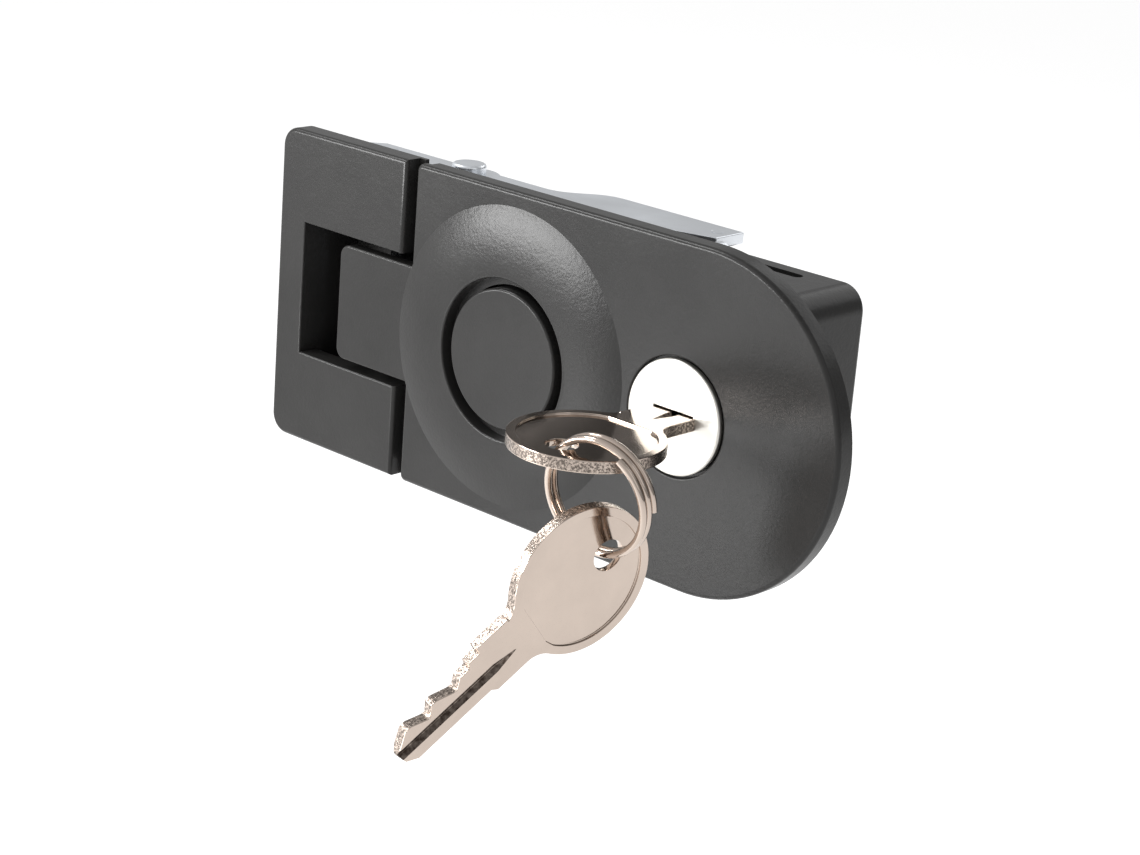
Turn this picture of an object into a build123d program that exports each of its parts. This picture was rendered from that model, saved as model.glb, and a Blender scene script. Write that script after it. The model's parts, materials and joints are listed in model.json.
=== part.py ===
from build123d import *
import os
from math import atan2, cos, radians, sin, sqrt, tan

os.makedirs("parts", exist_ok=True)

# Frame: +X runs along the face towards its round end, +Y runs back through the panel, +Z is up.
# The origin is the centre of the four mounting studs, on the front of the panel.

# Face of the latch
face_length = 127.7
face_width = 57.0
left_to_origin = 52.0
block_length = 31.8
block_depth = 4.0
gap_width = 2.5
block_corner_radius = 3.5
edge_round = 0.8
gasket_thickness = 1.0

# Finger pocket in the fixed block, and the lever's tongue that lies in it
pocket_rim = 6.7
pocket_height = 24.0
tongue_length = 17.9
tongue_height = 20.8
tongue_plate = 2.4
tongue_round = 2.0

# Lever shell
lever_plate = 1.6
skirt_depth = 3.4
skirt_wall = 1.4
skirt_clearance = 0.8
swing_relief = 1.0
lever_corner_radius = 1.2
dome_radius = 25.8
dome_rise = 1.45
dome_top_radius = 14.9
button_from_left = 58.2
well_radius = 13.9
well_depth = 1.0

# Housing
flange_thickness = 2.0
thin_flange = 0.8
gap_floor_length = 1.4
overcut = 1.0
flange_width = 9.6
lock_room = 1.6
floor_room = 5.6
box_corner_radius = 4.5
wall = 1.8
pocket_box_depth = 10.0
deep_box_from_left = 13.7

# Lever pivot and crank
pivot_behind_gap = 2.1
pivot_depth = 4.2
pivot_pin_radius = 1.25
hub_radius = 2.8
lug_height = 3.9
lug_reach = 3.0
running_clearance = 0.05
side_clearance = 0.3
lever_opening = 40.0
crank_inner = 6.6
crank_thickness = 3.2
crank_web_width = 7.0
fork_slack = 0.55
fork_wall = 2.2
pivot_spring_wire = 0.35
pivot_spring_turns = 8

# Pawl, its cross pin and its guide pins
cross_pin_from_left = 25.3
cross_pin_depth = 21.9
cross_pin_radius = 2.5
cross_pin_head_radius = 3.1
cross_pin_head_height = 2.0
cross_pin_tail = 1.6
pawl_plate = 2.0
pawl_gap = 1.5
pawl_front_depth = 17.5
pawl_eye_radius = 5.7
pawl_neck_depth = 26.2
pawl_neck_end = 40.0
pawl_back_depth = 32.9
pawl_swell = 13.0
pawl_end_from_left = 80.0
pawl_end_depth = 25.5
nose_reach = 13.0
nose_web = 12.6
nose_tip_height = 28.0
nose_root = 4.0
pad_thickness = 1.5
pad_margin = 2.0
slot_clearance = 0.3
guide_slot_depth = 28.9
guide_slot_width = 2.2
guide_slot_from_left = 74.9
guide_slot_length = 20.9
guide_pin_from_left = 77.3
guide_pin_radius = 0.95
guide_pin_inset = 1.0
washer_radius = 4.4
clip_thickness = 0.7
clip_radius = 4.0
clip_groove = 0.6
clip_opening = 6.0
washer_gap = 0.15
cross_pin_round = 0.6

# Release button, its well, spring and wedge
button_radius = 12.05
button_proud = 1.3
button_travel = 3.0
button_skirt_depth = 5.2
button_wall = 1.4
button_top = 1.8
button_round = 0.5
cup_clearance = 0.4
cup_wall = 1.5
cup_floor_depth = 8.5
cup_floor = 1.5
stem_radius = 3.0
stem_clearance = 0.2
wedge_gap = 0.4
wedge_height = 8.0
wedge_back = 4.2
wedge_depth = 6.0
ramp_from_button = 7.4
screw_grip = 5.0
driver_slot = 0.6
ramp_clearance = 0.25
small_screw_radius = 1.25
small_screw_head_radius = 2.3
small_screw_head = 1.2
button_spring_radius = 5.2
button_spring_wire = 0.5
button_spring_turns = 4
spring_seat = 0.1

# Catch that holds the lever shut
catch_depth = 12.6
catch_plate = 2.0
catch_nose_from_left = 72.9
catch_end_from_left = 84.0
catch_body_from_left = 75.0
catch_end_room = 0.7
hook_height = 3.0
keeper_from_left = 69.0
keeper_length = 3.65
keeper_height = 3.5
keeper_depth = 9.4
keeper_thickness = 2.9
catch_post_from_left = 79.5
catch_post_inset = 6.1
catch_post_radius = 2.2
rail_length = 8.0
rail_height = 6.5
cover_plate = 1.2
cover_gap = 0.3
catch_spring_radius = 1.3
catch_spring_wire = 0.3
catch_spring_turns = 5

# Lock
lock_from_left = 95.4
disc_radius = 9.5
disc_gap = 0.4
disc_proud = 0.5
disc_thickness = 0.9
disc_round = 0.35
collar_radius = 9.1
collar_thickness = 0.4
barrel_radius = 7.0
barrel_end = 3.5
boss_wall = 1.2
boss_depth = 6.0
barrel_wall = 1.65
plug_end_wall = 3.5
keyway_room = 1.1
keyway_side_room = 0.4
keyway_face_room = 0.2
wafer_thickness = 0.7
wafer_inset = 0.4
wafer_height = 3.8
wafer_clearance = 0.1
tail_side = 5.0
tail_length = 2.1
cam_gap = 0.2
cam_thickness = 2.0
cam_end_room = 1.6
cam_width = 9.0
cam_screw_radius = 1.5
cam_screw_head_radius = 3.4
cam_screw_head = 1.5
cam_screw_length = 3.0
cam_washer_radius = 4.0
cam_washer_thickness = 0.6
lock_keeper_height = 5.3
lock_keeper_length = 9.0
lock_keeper_thickness = 2.3

# Keys and their ring
key_thickness = 2.0
bow_radius = 12.4
bow_rim = 1.4
bow_recess = 0.3
bow_line = 10.0
key_hole_offset = 5.6
key_hole_radius = 2.6
shank_end = 20.0
shank_width = 9.2
blade_width = 7.4
key_length = 38.0
neck_radius = 4.0
key_groove_start = 13.5
key_groove_width = 1.4
key_groove_depth = 0.5
key_groove_offset = 0.6
first_bit = 22.5
bit_pitch = 2.7
bit_cuts = (0.9, 2.0, 0.7, 2.0, 0.3)
bit_flat = 1.0
key_tip = 2.6
ring_radius = 9.15
ring_wire = 0.62
ring_pitch = 1.32
ring_turns = 1.95
ring_drop = 5.7
ring_right = 7.3
ring_back = 1.0
ring_lean = 5.0
ring_tilt = 9.0
spare_key_lean = 52.0
spare_key_twist = 16.0
spare_key_roll = 9.2
spare_key_slack = 0.4
spare_key_hang = 10.0
key_seat = 0.1

# Mounting studs
stud_spacing_x = 76.0
stud_to_box = 2.6
stud_radius = 2.0
stud_length = 10.0
stud_root = 1.5
stud_root_radius = 2.5
stud_hole_room = 1.5
stud_chamfer = 0.4

# Places worked out from the sizes above
left_x = -left_to_origin
right_x = left_x + face_length
face_half = face_width / 2
round_x = right_x - face_half
face_y = -(block_depth + gasket_thickness)
seat_y = -gasket_thickness
gap_x = left_x + block_length
lever_x = gap_x + gap_width
pivot_x = lever_x + pivot_behind_gap
pivot_y = face_y + pivot_depth
button_x = left_x + button_from_left
lock_x = left_x + lock_from_left
box_x = left_x + pocket_rim - wall
box_right = lock_x + barrel_radius + lock_room + wall
box_length = box_right - box_x
box_height = face_width - 2 * flange_width
box_half = box_height / 2
stud_spacing_z = box_height + 2 * (stud_radius + stud_to_box)
cavity_half = box_half - wall
hub_half_span = cavity_half - lug_height - side_clearance
catch_height = 2 * (cavity_half - catch_end_room)
catch_post_spacing = catch_height - 2 * catch_post_inset
cam_reach = cavity_half - cam_end_room
plug_radius = barrel_radius - barrel_wall - running_clearance
wafer_width = 2 * (plug_radius - wafer_inset)
keyway_width = blade_width + 2 * keyway_side_room
keyway_height = key_thickness + 2 * keyway_face_room
keyway_depth = key_length - shank_end - key_seat - disc_proud + keyway_room
plug_depth = keyway_depth + plug_end_wall
barrel_depth = keyway_depth - barrel_end
cam_depth = plug_depth + cam_gap
washer_depth = max(plug_depth + tail_length, cam_depth + cam_thickness)
lock_end_depth = washer_depth + cam_washer_thickness + cam_screw_head
box_depth = face_y + lock_end_depth + floor_room + wall
bit_places = [first_bit + index * bit_pitch for index in range(len(bit_cuts))]
pawl_inner = box_half + pawl_gap
pawl_outer = pawl_inner + pawl_plate
cross_x = left_x + cross_pin_from_left
cross_y = face_y + cross_pin_depth
crank_x = cross_x - pivot_x
crank_y = cross_y - pivot_y
crank_rest = atan2(-crank_x, crank_y)
pawl_travel = -crank_x + crank_y * tan(radians(lever_opening) - crank_rest)
ramp_x = button_x + ramp_from_button


def level(y):
    """Plane parallel to the face at y, drawn in X and Z and extruded towards the front."""
    return Plane.XZ.offset(-y)


def depth(distance):
    """The y of a level that lies this far behind the lever's face."""
    return face_y + distance


def face_outline(inset, left):
    """Straight sides and a round right end, inset from the face's outline, from x = left."""
    half = face_half - inset
    with BuildSketch() as outline:
        with BuildLine():
            Line((left, -half), (round_x, -half))
            ThreePointArc((round_x, -half), (round_x + half, 0), (round_x, half))
            Polyline((round_x, half), (left, half), (left, -half))
        make_face()
    return outline.sketch


def slab(x0, x1, z0, z1, y0, y1, mode=Mode.ADD):
    """A rectangular block between two levels."""
    with BuildSketch(level(y1)) as profile:
        with Locations(((x0 + x1) / 2, (z0 + z1) / 2)):
            Rectangle(x1 - x0, z1 - z0)
    extrude(profile.sketch, amount=y1 - y0, mode=mode)


def disc(x, z, radius, y0, y1, mode=Mode.ADD):
    """A round boss or bore between two levels."""
    with BuildSketch(level(y1)) as profile:
        with Locations((x, z)):
            Circle(radius)
    extrude(profile.sketch, amount=y1 - y0, mode=mode)


def bar(x, y, radius, z0, z1, mode=Mode.ADD):
    """A round bar or bore that runs up and down."""
    with BuildSketch(Plane.XY.offset(z0)) as profile:
        with Locations((x, y)):
            Circle(radius)
    extrude(profile.sketch, amount=z1 - z0, mode=mode)


def long_slot(x0, x1, y, width, z0, z1, mode=Mode.SUBTRACT):
    """A round-ended slot along X, cut up and down through a wall."""
    with BuildSketch(Plane.XY.offset(z0)) as profile:
        with Locations(((x0 + x1) / 2, y)):
            SlotOverall(x1 - x0, width)
    extrude(profile.sketch, amount=z1 - z0, mode=mode)


def coil(origin, direction, radius, wire, turns, height):
    """A helical spring of round wire, as a solid of its own."""
    with BuildPart() as spring:
        with BuildLine() as path:
            Helix(height / turns, height, radius, center=origin, direction=direction)
        with BuildSketch(Plane(origin=path.line @ 0, z_dir=path.line % 0)):
            Circle(wire)
        sweep(is_frenet=True)
    return spring.part


def save(builder, name):
    """Label a finished piece and write its file."""
    builder.part.label = name
    export_step(builder.part, f"parts/{name}.step")


# Housing: fixed block, thin gap floor, flange under the lever, pocket box and deep box
flange_inset = skirt_wall + skirt_clearance
pivot_lug_x0 = gap_x + thin_flange
with BuildPart() as housing:
    with BuildSketch(level(seat_y)):
        with BuildLine():
            FilletPolyline(
                (gap_x, -face_half), (left_x, -face_half), (left_x, face_half), (gap_x, face_half),
                radius=block_corner_radius,
            )
            Line((gap_x, face_half), (gap_x, -face_half))
        make_face()
    extrude(amount=block_depth)
    fillet(housing.edges().group_by(Axis.Y)[0], radius=edge_round)
    slab(
        gap_x - overcut, gap_x + gap_floor_length, -face_half, face_half,
        seat_y - thin_flange, seat_y,
    )
    with BuildSketch(level(seat_y)):
        add(face_outline(flange_inset, gap_x))
    extrude(amount=thin_flange)
    with BuildSketch(level(seat_y)):
        add(face_outline(flange_inset, pivot_x))
    extrude(amount=flange_thickness)
    with BuildSketch(level(seat_y + pocket_box_depth + gasket_thickness)):
        with Locations(((box_x + box_right) / 2, 0)):
            RectangleRounded(box_length, box_height, box_corner_radius)
    extrude(amount=pocket_box_depth + gasket_thickness)
    with BuildSketch(level(box_depth)):
        deep_x = left_x + deep_box_from_left
        with Locations(((deep_x + box_right) / 2, 0)):
            RectangleRounded(box_right - deep_x, box_height, box_corner_radius)
    extrude(amount=box_depth - seat_y)
    with BuildSketch(level(pocket_box_depth - wall)):
        with Locations(((box_x + box_right) / 2, 0)):
            RectangleRounded(box_length - 2 * wall, box_height - 2 * wall, box_corner_radius - wall)
    extrude(amount=pocket_box_depth - wall - seat_y, mode=Mode.SUBTRACT)
    with BuildSketch(level(box_depth - wall)):
        with Locations(((deep_x + box_right) / 2, 0)):
            RectangleRounded(
                box_right - deep_x - 2 * wall, box_height - 2 * wall, box_corner_radius - wall
            )
    extrude(amount=box_depth - wall - seat_y, mode=Mode.SUBTRACT)
    slab(
        left_x + pocket_rim, pivot_lug_x0, -pocket_height / 2, pocket_height / 2,
        face_y, seat_y, Mode.SUBTRACT,
    )
    slab(
        pivot_lug_x0, box_right - wall, -cavity_half, cavity_half, face_y, seat_y, Mode.SUBTRACT,
    )
    lug_inner = hub_half_span + side_clearance
    lug_round = pivot_depth - lever_plate - side_clearance
    for side in (-1, 1):
        lug_span = sorted((side * lug_inner, side * cavity_half))
        bar(pivot_x, pivot_y, lug_round, *lug_span)
        slab(
            pivot_x - lug_reach, pivot_x + lug_reach, *lug_span,
            pivot_y, pivot_y + lug_reach + pivot_pin_radius,
        )
        keeper_x = left_x + keeper_from_left
        slab(
            keeper_x, keeper_x + keeper_length,
            *sorted((side * (cavity_half - keeper_height), side * cavity_half)),
            depth(keeper_depth), depth(keeper_depth + keeper_thickness),
        )
    lock_keeper_y = depth(plug_depth + cam_gap - side_clearance)
    slab(
        lock_x - lock_keeper_length / 2, lock_x + lock_keeper_length / 2,
        cavity_half - lock_keeper_height, cavity_half,
        lock_keeper_y - lock_keeper_thickness, lock_keeper_y,
    )
    bar(pivot_x, pivot_y, pivot_pin_radius, -box_half, box_half, Mode.SUBTRACT)
    for side in (-1, 1):
        z0, z1 = sorted((side * (cavity_half - overcut), side * (box_half + overcut)))
        long_slot(
            cross_x - cross_pin_radius - slot_clearance,
            cross_x + pawl_travel + cross_pin_radius + slot_clearance,
            cross_y, 2 * (cross_pin_radius + slot_clearance), z0, z1,
        )
        guide_x = left_x + guide_slot_from_left
        long_slot(
            guide_x, guide_x + guide_slot_length, depth(guide_slot_depth), guide_slot_width, z0, z1
        )
    with BuildSketch(level(seat_y)):
        with GridLocations(stud_spacing_x, stud_spacing_z, 2, 2):
            Circle(stud_root_radius)
    extrude(amount=stud_root, mode=Mode.SUBTRACT)
save(housing, "housing")

# Studs that hold the latch on the panel, each on a wider root pressed into the flange
with BuildPart() as mounting_studs:
    with BuildSketch(level(stud_length)):
        with GridLocations(stud_spacing_x, stud_spacing_z, 2, 2):
            Circle(stud_radius)
    extrude(amount=stud_length - seat_y)
    chamfer(mounting_studs.edges().group_by(Axis.Y)[-1], length=stud_chamfer)
    with BuildSketch(level(seat_y)):
        with GridLocations(stud_spacing_x, stud_spacing_z, 2, 2):
            Circle(stud_root_radius)
    extrude(amount=stud_root)
save(mounting_studs, "mounting_studs")

# Foam gasket between the flange and the panel
with BuildPart() as panel_gasket:
    with BuildSketch(level(0)):
        add(face_outline(flange_inset + skirt_wall, left_x + flange_inset))
        with Locations(((box_x + box_right) / 2, 0)):
            RectangleRounded(
                box_length + 2 * side_clearance, box_height + 2 * side_clearance,
                box_corner_radius + side_clearance, mode=Mode.SUBTRACT,
            )
        with GridLocations(stud_spacing_x, stud_spacing_z, 2, 2):
            Circle(stud_radius + stud_hole_room, mode=Mode.SUBTRACT)
    extrude(amount=gasket_thickness)
save(panel_gasket, "panel_gasket")

# Pivot pin of the lever, pressed into the housing's side walls
with BuildPart() as pivot_pin:
    bar(pivot_x, pivot_y, pivot_pin_radius, -box_half, box_half)
save(pivot_pin, "pivot_pin")

# Lever: plate, dome, skirt, tongue, button cup, lock boss, hub and crank
cup_radius = button_radius + cup_clearance
fork_half = cross_pin_radius + fork_slack
pivot_spring_radius = pivot_pin_radius + side_clearance + pivot_spring_wire
crank_long = sqrt(crank_x ** 2 + crank_y ** 2)
fork_tip = crank_long + cross_pin_radius + side_clearance
crank_plane = Plane(
    origin=(pivot_x, pivot_y, 0), x_dir=(crank_y, -crank_x, 0), z_dir=(0, 0, 1)
)
with BuildPart() as lever:
    with BuildSketch(level(depth(skirt_depth))):
        add(face_outline(0, lever_x + tongue_round))
        add(face_outline(skirt_wall, lever_x + tongue_round), mode=Mode.SUBTRACT)
    extrude(amount=skirt_depth)
    with BuildSketch(level(depth(lever_plate))):
        add(face_outline(0, lever_x))
    extrude(amount=lever_plate)
    fillet(
        lever.edges().filter_by(Axis.Y).group_by(Axis.X)[0], radius=lever_corner_radius
    )
    fillet(lever.edges().group_by(Axis.Y)[0], radius=edge_round)
    with BuildSketch(Plane.XY.offset(-face_half)):
        with BuildLine():
            Polyline(
                (lever_x, depth(lever_plate)), (lever_x + swing_relief, depth(lever_plate)),
                (lever_x, depth(lever_plate - swing_relief)), (lever_x, depth(lever_plate)),
            )
        make_face()
    extrude(amount=face_width, mode=Mode.SUBTRACT)
    with BuildSketch(level(depth(tongue_plate))):
        with Locations((lever_x - tongue_length / 2 + tongue_round, 0)):
            RectangleRounded(tongue_length + 2 * tongue_round, tongue_height, tongue_round)
    extrude(amount=tongue_plate)
    with BuildSketch(Plane.XY):
        with BuildLine():
            Polyline(
                (button_x, depth(lever_plate)), (button_x + dome_radius, depth(lever_plate)),
                (button_x + dome_radius, face_y), (button_x + dome_top_radius, face_y - dome_rise),
                (button_x, face_y - dome_rise), (button_x, depth(lever_plate)),
            )
        make_face()
    revolve(axis=Axis((button_x, 0, 0), (0, 1, 0)))
    cup_bottom = depth(cup_floor_depth + cup_floor)
    disc(button_x, 0, cup_radius + cup_wall, face_y, cup_bottom)
    disc(button_x, 0, cup_radius, depth(-2 * dome_rise), depth(cup_floor_depth), Mode.SUBTRACT)
    disc(button_x, 0, well_radius, depth(-2 * dome_rise), depth(well_depth), Mode.SUBTRACT)
    disc(
        button_x, 0, stem_radius + stem_clearance, depth(cup_floor_depth), cup_bottom,
        Mode.SUBTRACT,
    )
    disc(lock_x, 0, barrel_radius + boss_wall, face_y, depth(boss_depth))
    disc(
        lock_x, 0, disc_radius + disc_gap, depth(-overcut),
        depth(disc_thickness + running_clearance), Mode.SUBTRACT,
    )
    disc(
        lock_x, 0, barrel_radius + running_clearance, depth(-overcut), depth(boss_depth),
        Mode.SUBTRACT,
    )
    for side in (-1, 1):
        bar(pivot_x, pivot_y, hub_radius, *sorted((side * crank_inner, side * hub_half_span)))
        rail_x = left_x + catch_post_from_left
        rail_z = side * catch_post_spacing / 2
        slab(
            rail_x - rail_length / 2, rail_x + rail_length / 2,
            rail_z - rail_height / 2, rail_z + rail_height / 2,
            depth(lever_plate), depth(catch_depth - cover_gap),
        )
        disc(
            rail_x, rail_z, catch_post_radius,
            depth(lever_plate), depth(catch_depth + catch_plate + cover_gap),
        )
        disc(
            rail_x, rail_z, small_screw_radius,
            depth(catch_depth - screw_grip), depth(catch_depth + catch_plate + cover_gap),
            Mode.SUBTRACT,
        )
        crank_low = min(side * crank_inner, side * (crank_inner + crank_thickness))
        fork_start = crank_y - cross_pin_radius - fork_wall - side_clearance
        wide = fork_half + fork_wall
        with BuildSketch(crank_plane.offset(crank_low)):
            with BuildLine():
                Polyline(
                    (-crank_web_width / 2, 0), (crank_web_width / 2, 0), (wide, fork_start),
                    (wide, fork_tip), (-wide, fork_tip), (-wide, fork_start),
                    (-crank_web_width / 2, 0),
                )
            make_face()
            slot_start = crank_y - side_clearance
            slot_top = fork_tip + overcut
            with BuildLine():
                Line((-fork_half, slot_top), (-fork_half, slot_start))
                ThreePointArc(
                    (-fork_half, slot_start), (0, slot_start - fork_half), (fork_half, slot_start)
                )
                Polyline((fork_half, slot_start), (fork_half, slot_top), (-fork_half, slot_top))
            make_face(mode=Mode.SUBTRACT)
        extrude(amount=crank_thickness)
    bar(
        pivot_x, pivot_y, pivot_pin_radius + running_clearance, -hub_half_span, hub_half_span,
        Mode.SUBTRACT,
    )
    bar(
        pivot_x, pivot_y, pivot_spring_radius + pivot_spring_wire + side_clearance,
        -crank_inner, crank_inner, Mode.SUBTRACT,
    )
save(lever, "lever")

# Torsion spring that lifts the lever
pivot_spring_height = 2 * (crank_inner - side_clearance - pivot_spring_wire)
with BuildPart() as lever_spring:
    add(coil(
        (pivot_x, pivot_y, -pivot_spring_height / 2), (0, 0, 1),
        pivot_spring_radius, pivot_spring_wire, pivot_spring_turns, pivot_spring_height,
    ))
save(lever_spring, "lever_spring")

# Release button: cap with a skirt and a stem
button_y = depth(-button_proud)
stem_end = cup_bottom + wedge_gap
with BuildPart() as release_button:
    disc(button_x, 0, button_radius, button_y, depth(button_skirt_depth))
    disc(
        button_x, 0, button_radius - button_wall, button_y + button_top,
        depth(button_skirt_depth), Mode.SUBTRACT,
    )
    disc(button_x, 0, stem_radius, button_y + button_top, stem_end)
    disc(button_x, 0, small_screw_radius, stem_end - screw_grip, stem_end, Mode.SUBTRACT)
    fillet(release_button.edges().group_by(Axis.Y)[0], radius=button_round)
save(release_button, "release_button")

button_spring_length = depth(cup_floor_depth) - button_y - button_top
with BuildPart() as button_spring:
    add(coil(
        (button_x, button_y + button_top + button_spring_wire + spring_seat, 0), (0, 1, 0),
        button_spring_radius, button_spring_wire, button_spring_turns,
        button_spring_length - 2 * (button_spring_wire + spring_seat),
    ))
save(button_spring, "button_spring")

# Wedge screwed to the stem; its ramp pushes the catch towards the lock
wedge_end = stem_end + wedge_depth
with BuildPart() as push_wedge:
    with BuildSketch(Plane.XY.offset(-wedge_height / 2)):
        with BuildLine():
            Polyline(
                (button_x - wedge_back, stem_end), (ramp_x + wedge_depth, stem_end),
                (ramp_x, wedge_end), (button_x - wedge_back, wedge_end),
                (button_x - wedge_back, stem_end),
            )
        make_face()
    extrude(amount=wedge_height)
    disc(
        button_x, 0, small_screw_radius + running_clearance, stem_end, wedge_end, Mode.SUBTRACT
    )
save(push_wedge, "push_wedge")

with BuildPart() as wedge_screw:
    disc(button_x, 0, small_screw_radius, stem_end - screw_grip, wedge_end)
    disc(button_x, 0, small_screw_head_radius, wedge_end, wedge_end + small_screw_head)
    slab(
        button_x - small_screw_head_radius, button_x + small_screw_head_radius,
        -driver_slot / 2, driver_slot / 2,
        wedge_end + small_screw_head - driver_slot, wedge_end + small_screw_head, Mode.SUBTRACT,
    )
save(wedge_screw, "wedge_screw")

# Catch plate with two hooks, two guide slots and a ramp face
catch_y0 = depth(catch_depth)
catch_y1 = catch_y0 + catch_plate
nose_x = left_x + catch_nose_from_left
catch_left = left_x + catch_body_from_left
catch_right = left_x + catch_end_from_left
catch_ramp_x = ramp_x + wedge_end - catch_y0 + ramp_clearance * sqrt(2)
with BuildPart() as catch:
    slab(catch_left, catch_right, -catch_height / 2, catch_height / 2, catch_y0, catch_y1)
    for side in (-1, 1):
        hook_z = side * (catch_height - hook_height) / 2
        slab(
            nose_x, catch_left + overcut, hook_z - hook_height / 2, hook_z + hook_height / 2,
            catch_y0, catch_y1,
        )
    with BuildSketch(Plane.XY.offset(-wedge_height / 2)):
        with BuildLine():
            Polyline(
                (catch_ramp_x, catch_y0), (catch_left + overcut, catch_y0),
                (catch_left + overcut, catch_y1), (catch_ramp_x - catch_plate, catch_y1),
                (catch_ramp_x, catch_y0),
            )
        make_face()
    extrude(amount=wedge_height)
    slot_half = catch_post_radius + side_clearance
    with BuildSketch(level(catch_y1)):
        with Locations((rail_x - button_travel / 2, 0)):
            with GridLocations(1, catch_post_spacing, 1, 2):
                SlotOverall(button_travel + 2 * slot_half, 2 * slot_half)
    extrude(amount=catch_plate, mode=Mode.SUBTRACT)
save(catch, "catch")

# Cover that keeps the catch on its posts, and its two screws
cover_y0 = catch_y1 + cover_gap
with BuildPart() as catch_cover:
    slab(
        rail_x - rail_length / 2, rail_x + rail_length / 2,
        -catch_post_spacing / 2 - rail_height / 2, catch_post_spacing / 2 + rail_height / 2,
        cover_y0, cover_y0 + cover_plate,
    )
    with BuildSketch(level(cover_y0 + cover_plate)):
        with Locations((rail_x, 0)):
            with GridLocations(1, catch_post_spacing, 1, 2):
                Circle(small_screw_radius + running_clearance)
    extrude(amount=cover_plate, mode=Mode.SUBTRACT)
save(catch_cover, "catch_cover")

cover_top = cover_y0 + cover_plate
with BuildPart() as cover_screws:
    for side in (-1, 1):
        screw_z = side * catch_post_spacing / 2
        disc(rail_x, screw_z, small_screw_radius, depth(catch_depth - screw_grip), cover_top)
        disc(rail_x, screw_z, small_screw_head_radius, cover_top, cover_top + small_screw_head)
        slab(
            rail_x - small_screw_head_radius, rail_x + small_screw_head_radius,
            screw_z - driver_slot / 2, screw_z + driver_slot / 2,
            cover_top + small_screw_head - driver_slot, cover_top + small_screw_head,
            Mode.SUBTRACT,
        )
save(cover_screws, "cover_screws")

# Spring that pushes the catch towards its keepers, held against the lock barrel
catch_spring_y = catch_y0 + catch_plate / 2
spring_start = catch_right + catch_spring_wire + spring_seat
spring_end = lock_x - barrel_radius - catch_spring_wire - spring_seat
with BuildPart() as catch_spring:
    add(coil(
        (spring_start, catch_spring_y, 0), (1, 0, 0), catch_spring_radius, catch_spring_wire,
        catch_spring_turns, spring_end - spring_start,
    ))
save(catch_spring, "catch_spring")

# Lock barrel with its front collar
collar_y = depth(disc_thickness - collar_thickness)
clip_y = depth(boss_depth) + side_clearance
with BuildPart() as lock_barrel:
    disc(lock_x, 0, collar_radius, collar_y, collar_y + collar_thickness)
    disc(lock_x, 0, barrel_radius, collar_y, depth(barrel_depth))
    disc(
        lock_x, 0, plug_radius + running_clearance, collar_y, depth(barrel_depth), Mode.SUBTRACT
    )
    with BuildSketch(level(clip_y + clip_thickness)):
        with Locations((lock_x, 0)):
            Circle(barrel_radius + overcut)
            Circle(barrel_radius - clip_groove, mode=Mode.SUBTRACT)
    extrude(amount=clip_thickness, mode=Mode.SUBTRACT)
save(lock_barrel, "lock_barrel")

# Spring clip in the barrel's groove, behind the lever's boss
with BuildPart() as lock_clip:
    with BuildSketch(level(clip_y + clip_thickness - running_clearance)):
        with Locations((lock_x, 0)):
            Circle(barrel_radius + clip_groove)
            Circle(barrel_radius - clip_groove + running_clearance, mode=Mode.SUBTRACT)
        with Locations((lock_x - barrel_radius, 0)):
            Rectangle(barrel_radius, 2 * clip_groove * clip_opening, mode=Mode.SUBTRACT)
    extrude(amount=clip_thickness - 2 * running_clearance)
save(lock_clip, "lock_clip")

# Lock plug: face disc, cylinder with keyway and a wafer slot at each of the key's cuts, square tail
disc_y = depth(-disc_proud)
key_centre_y = disc_y - shank_end - key_seat
wafer_levels = [
    key_centre_y + place + (bit_flat - wafer_thickness) / 2 for place in bit_places
]
plug_end = depth(plug_depth)
tail_end = plug_end + tail_length
with BuildPart() as lock_plug:
    disc(lock_x, 0, disc_radius, disc_y, collar_y - running_clearance)
    fillet(lock_plug.edges().group_by(Axis.Y)[0], radius=disc_round)
    disc(lock_x, 0, plug_radius, disc_y + disc_round, plug_end)
    slab(
        lock_x - tail_side / 2, lock_x + tail_side / 2, -tail_side / 2, tail_side / 2,
        plug_end, tail_end,
    )
    slab(
        lock_x - keyway_width / 2, lock_x + keyway_width / 2, -keyway_height / 2,
        keyway_height / 2, disc_y, depth(keyway_depth), Mode.SUBTRACT,
    )
    for wafer_y in wafer_levels:
        slab(
            lock_x - plug_radius, lock_x + plug_radius,
            -wafer_height / 2 - wafer_clearance, wafer_height / 2 + wafer_clearance,
            wafer_y - wafer_clearance, wafer_y + wafer_thickness + wafer_clearance,
            Mode.SUBTRACT,
        )
    disc(lock_x, 0, cam_screw_radius, tail_end - cam_screw_length, tail_end, Mode.SUBTRACT)
save(lock_plug, "lock_plug")

with BuildPart() as lock_wafers:
    for wafer_y in wafer_levels:
        slab(
            lock_x - wafer_width / 2, lock_x + wafer_width / 2, -wafer_height / 2,
            wafer_height / 2, wafer_y, wafer_y + wafer_thickness,
        )
        slab(
            lock_x - keyway_width / 2 - wafer_clearance, lock_x + keyway_width / 2 + wafer_clearance,
            -keyway_height / 2 - wafer_clearance, keyway_height / 2 + wafer_clearance,
            wafer_y, wafer_y + wafer_thickness, Mode.SUBTRACT,
        )
save(lock_wafers, "lock_wafers")

# Cam on the plug's tail, with its washer and screw
cam_y = depth(cam_depth)
with BuildPart() as lock_cam:
    with BuildSketch(level(cam_y + cam_thickness)):
        with Locations((lock_x - (cam_reach - cam_width / 2) / 2, 0)):
            SlotOverall(cam_reach + cam_width / 2, cam_width)
        with Locations((lock_x, 0)):
            Rectangle(
                tail_side + 2 * running_clearance, tail_side + 2 * running_clearance,
                mode=Mode.SUBTRACT,
            )
    extrude(amount=cam_thickness)
save(lock_cam, "lock_cam")

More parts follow.
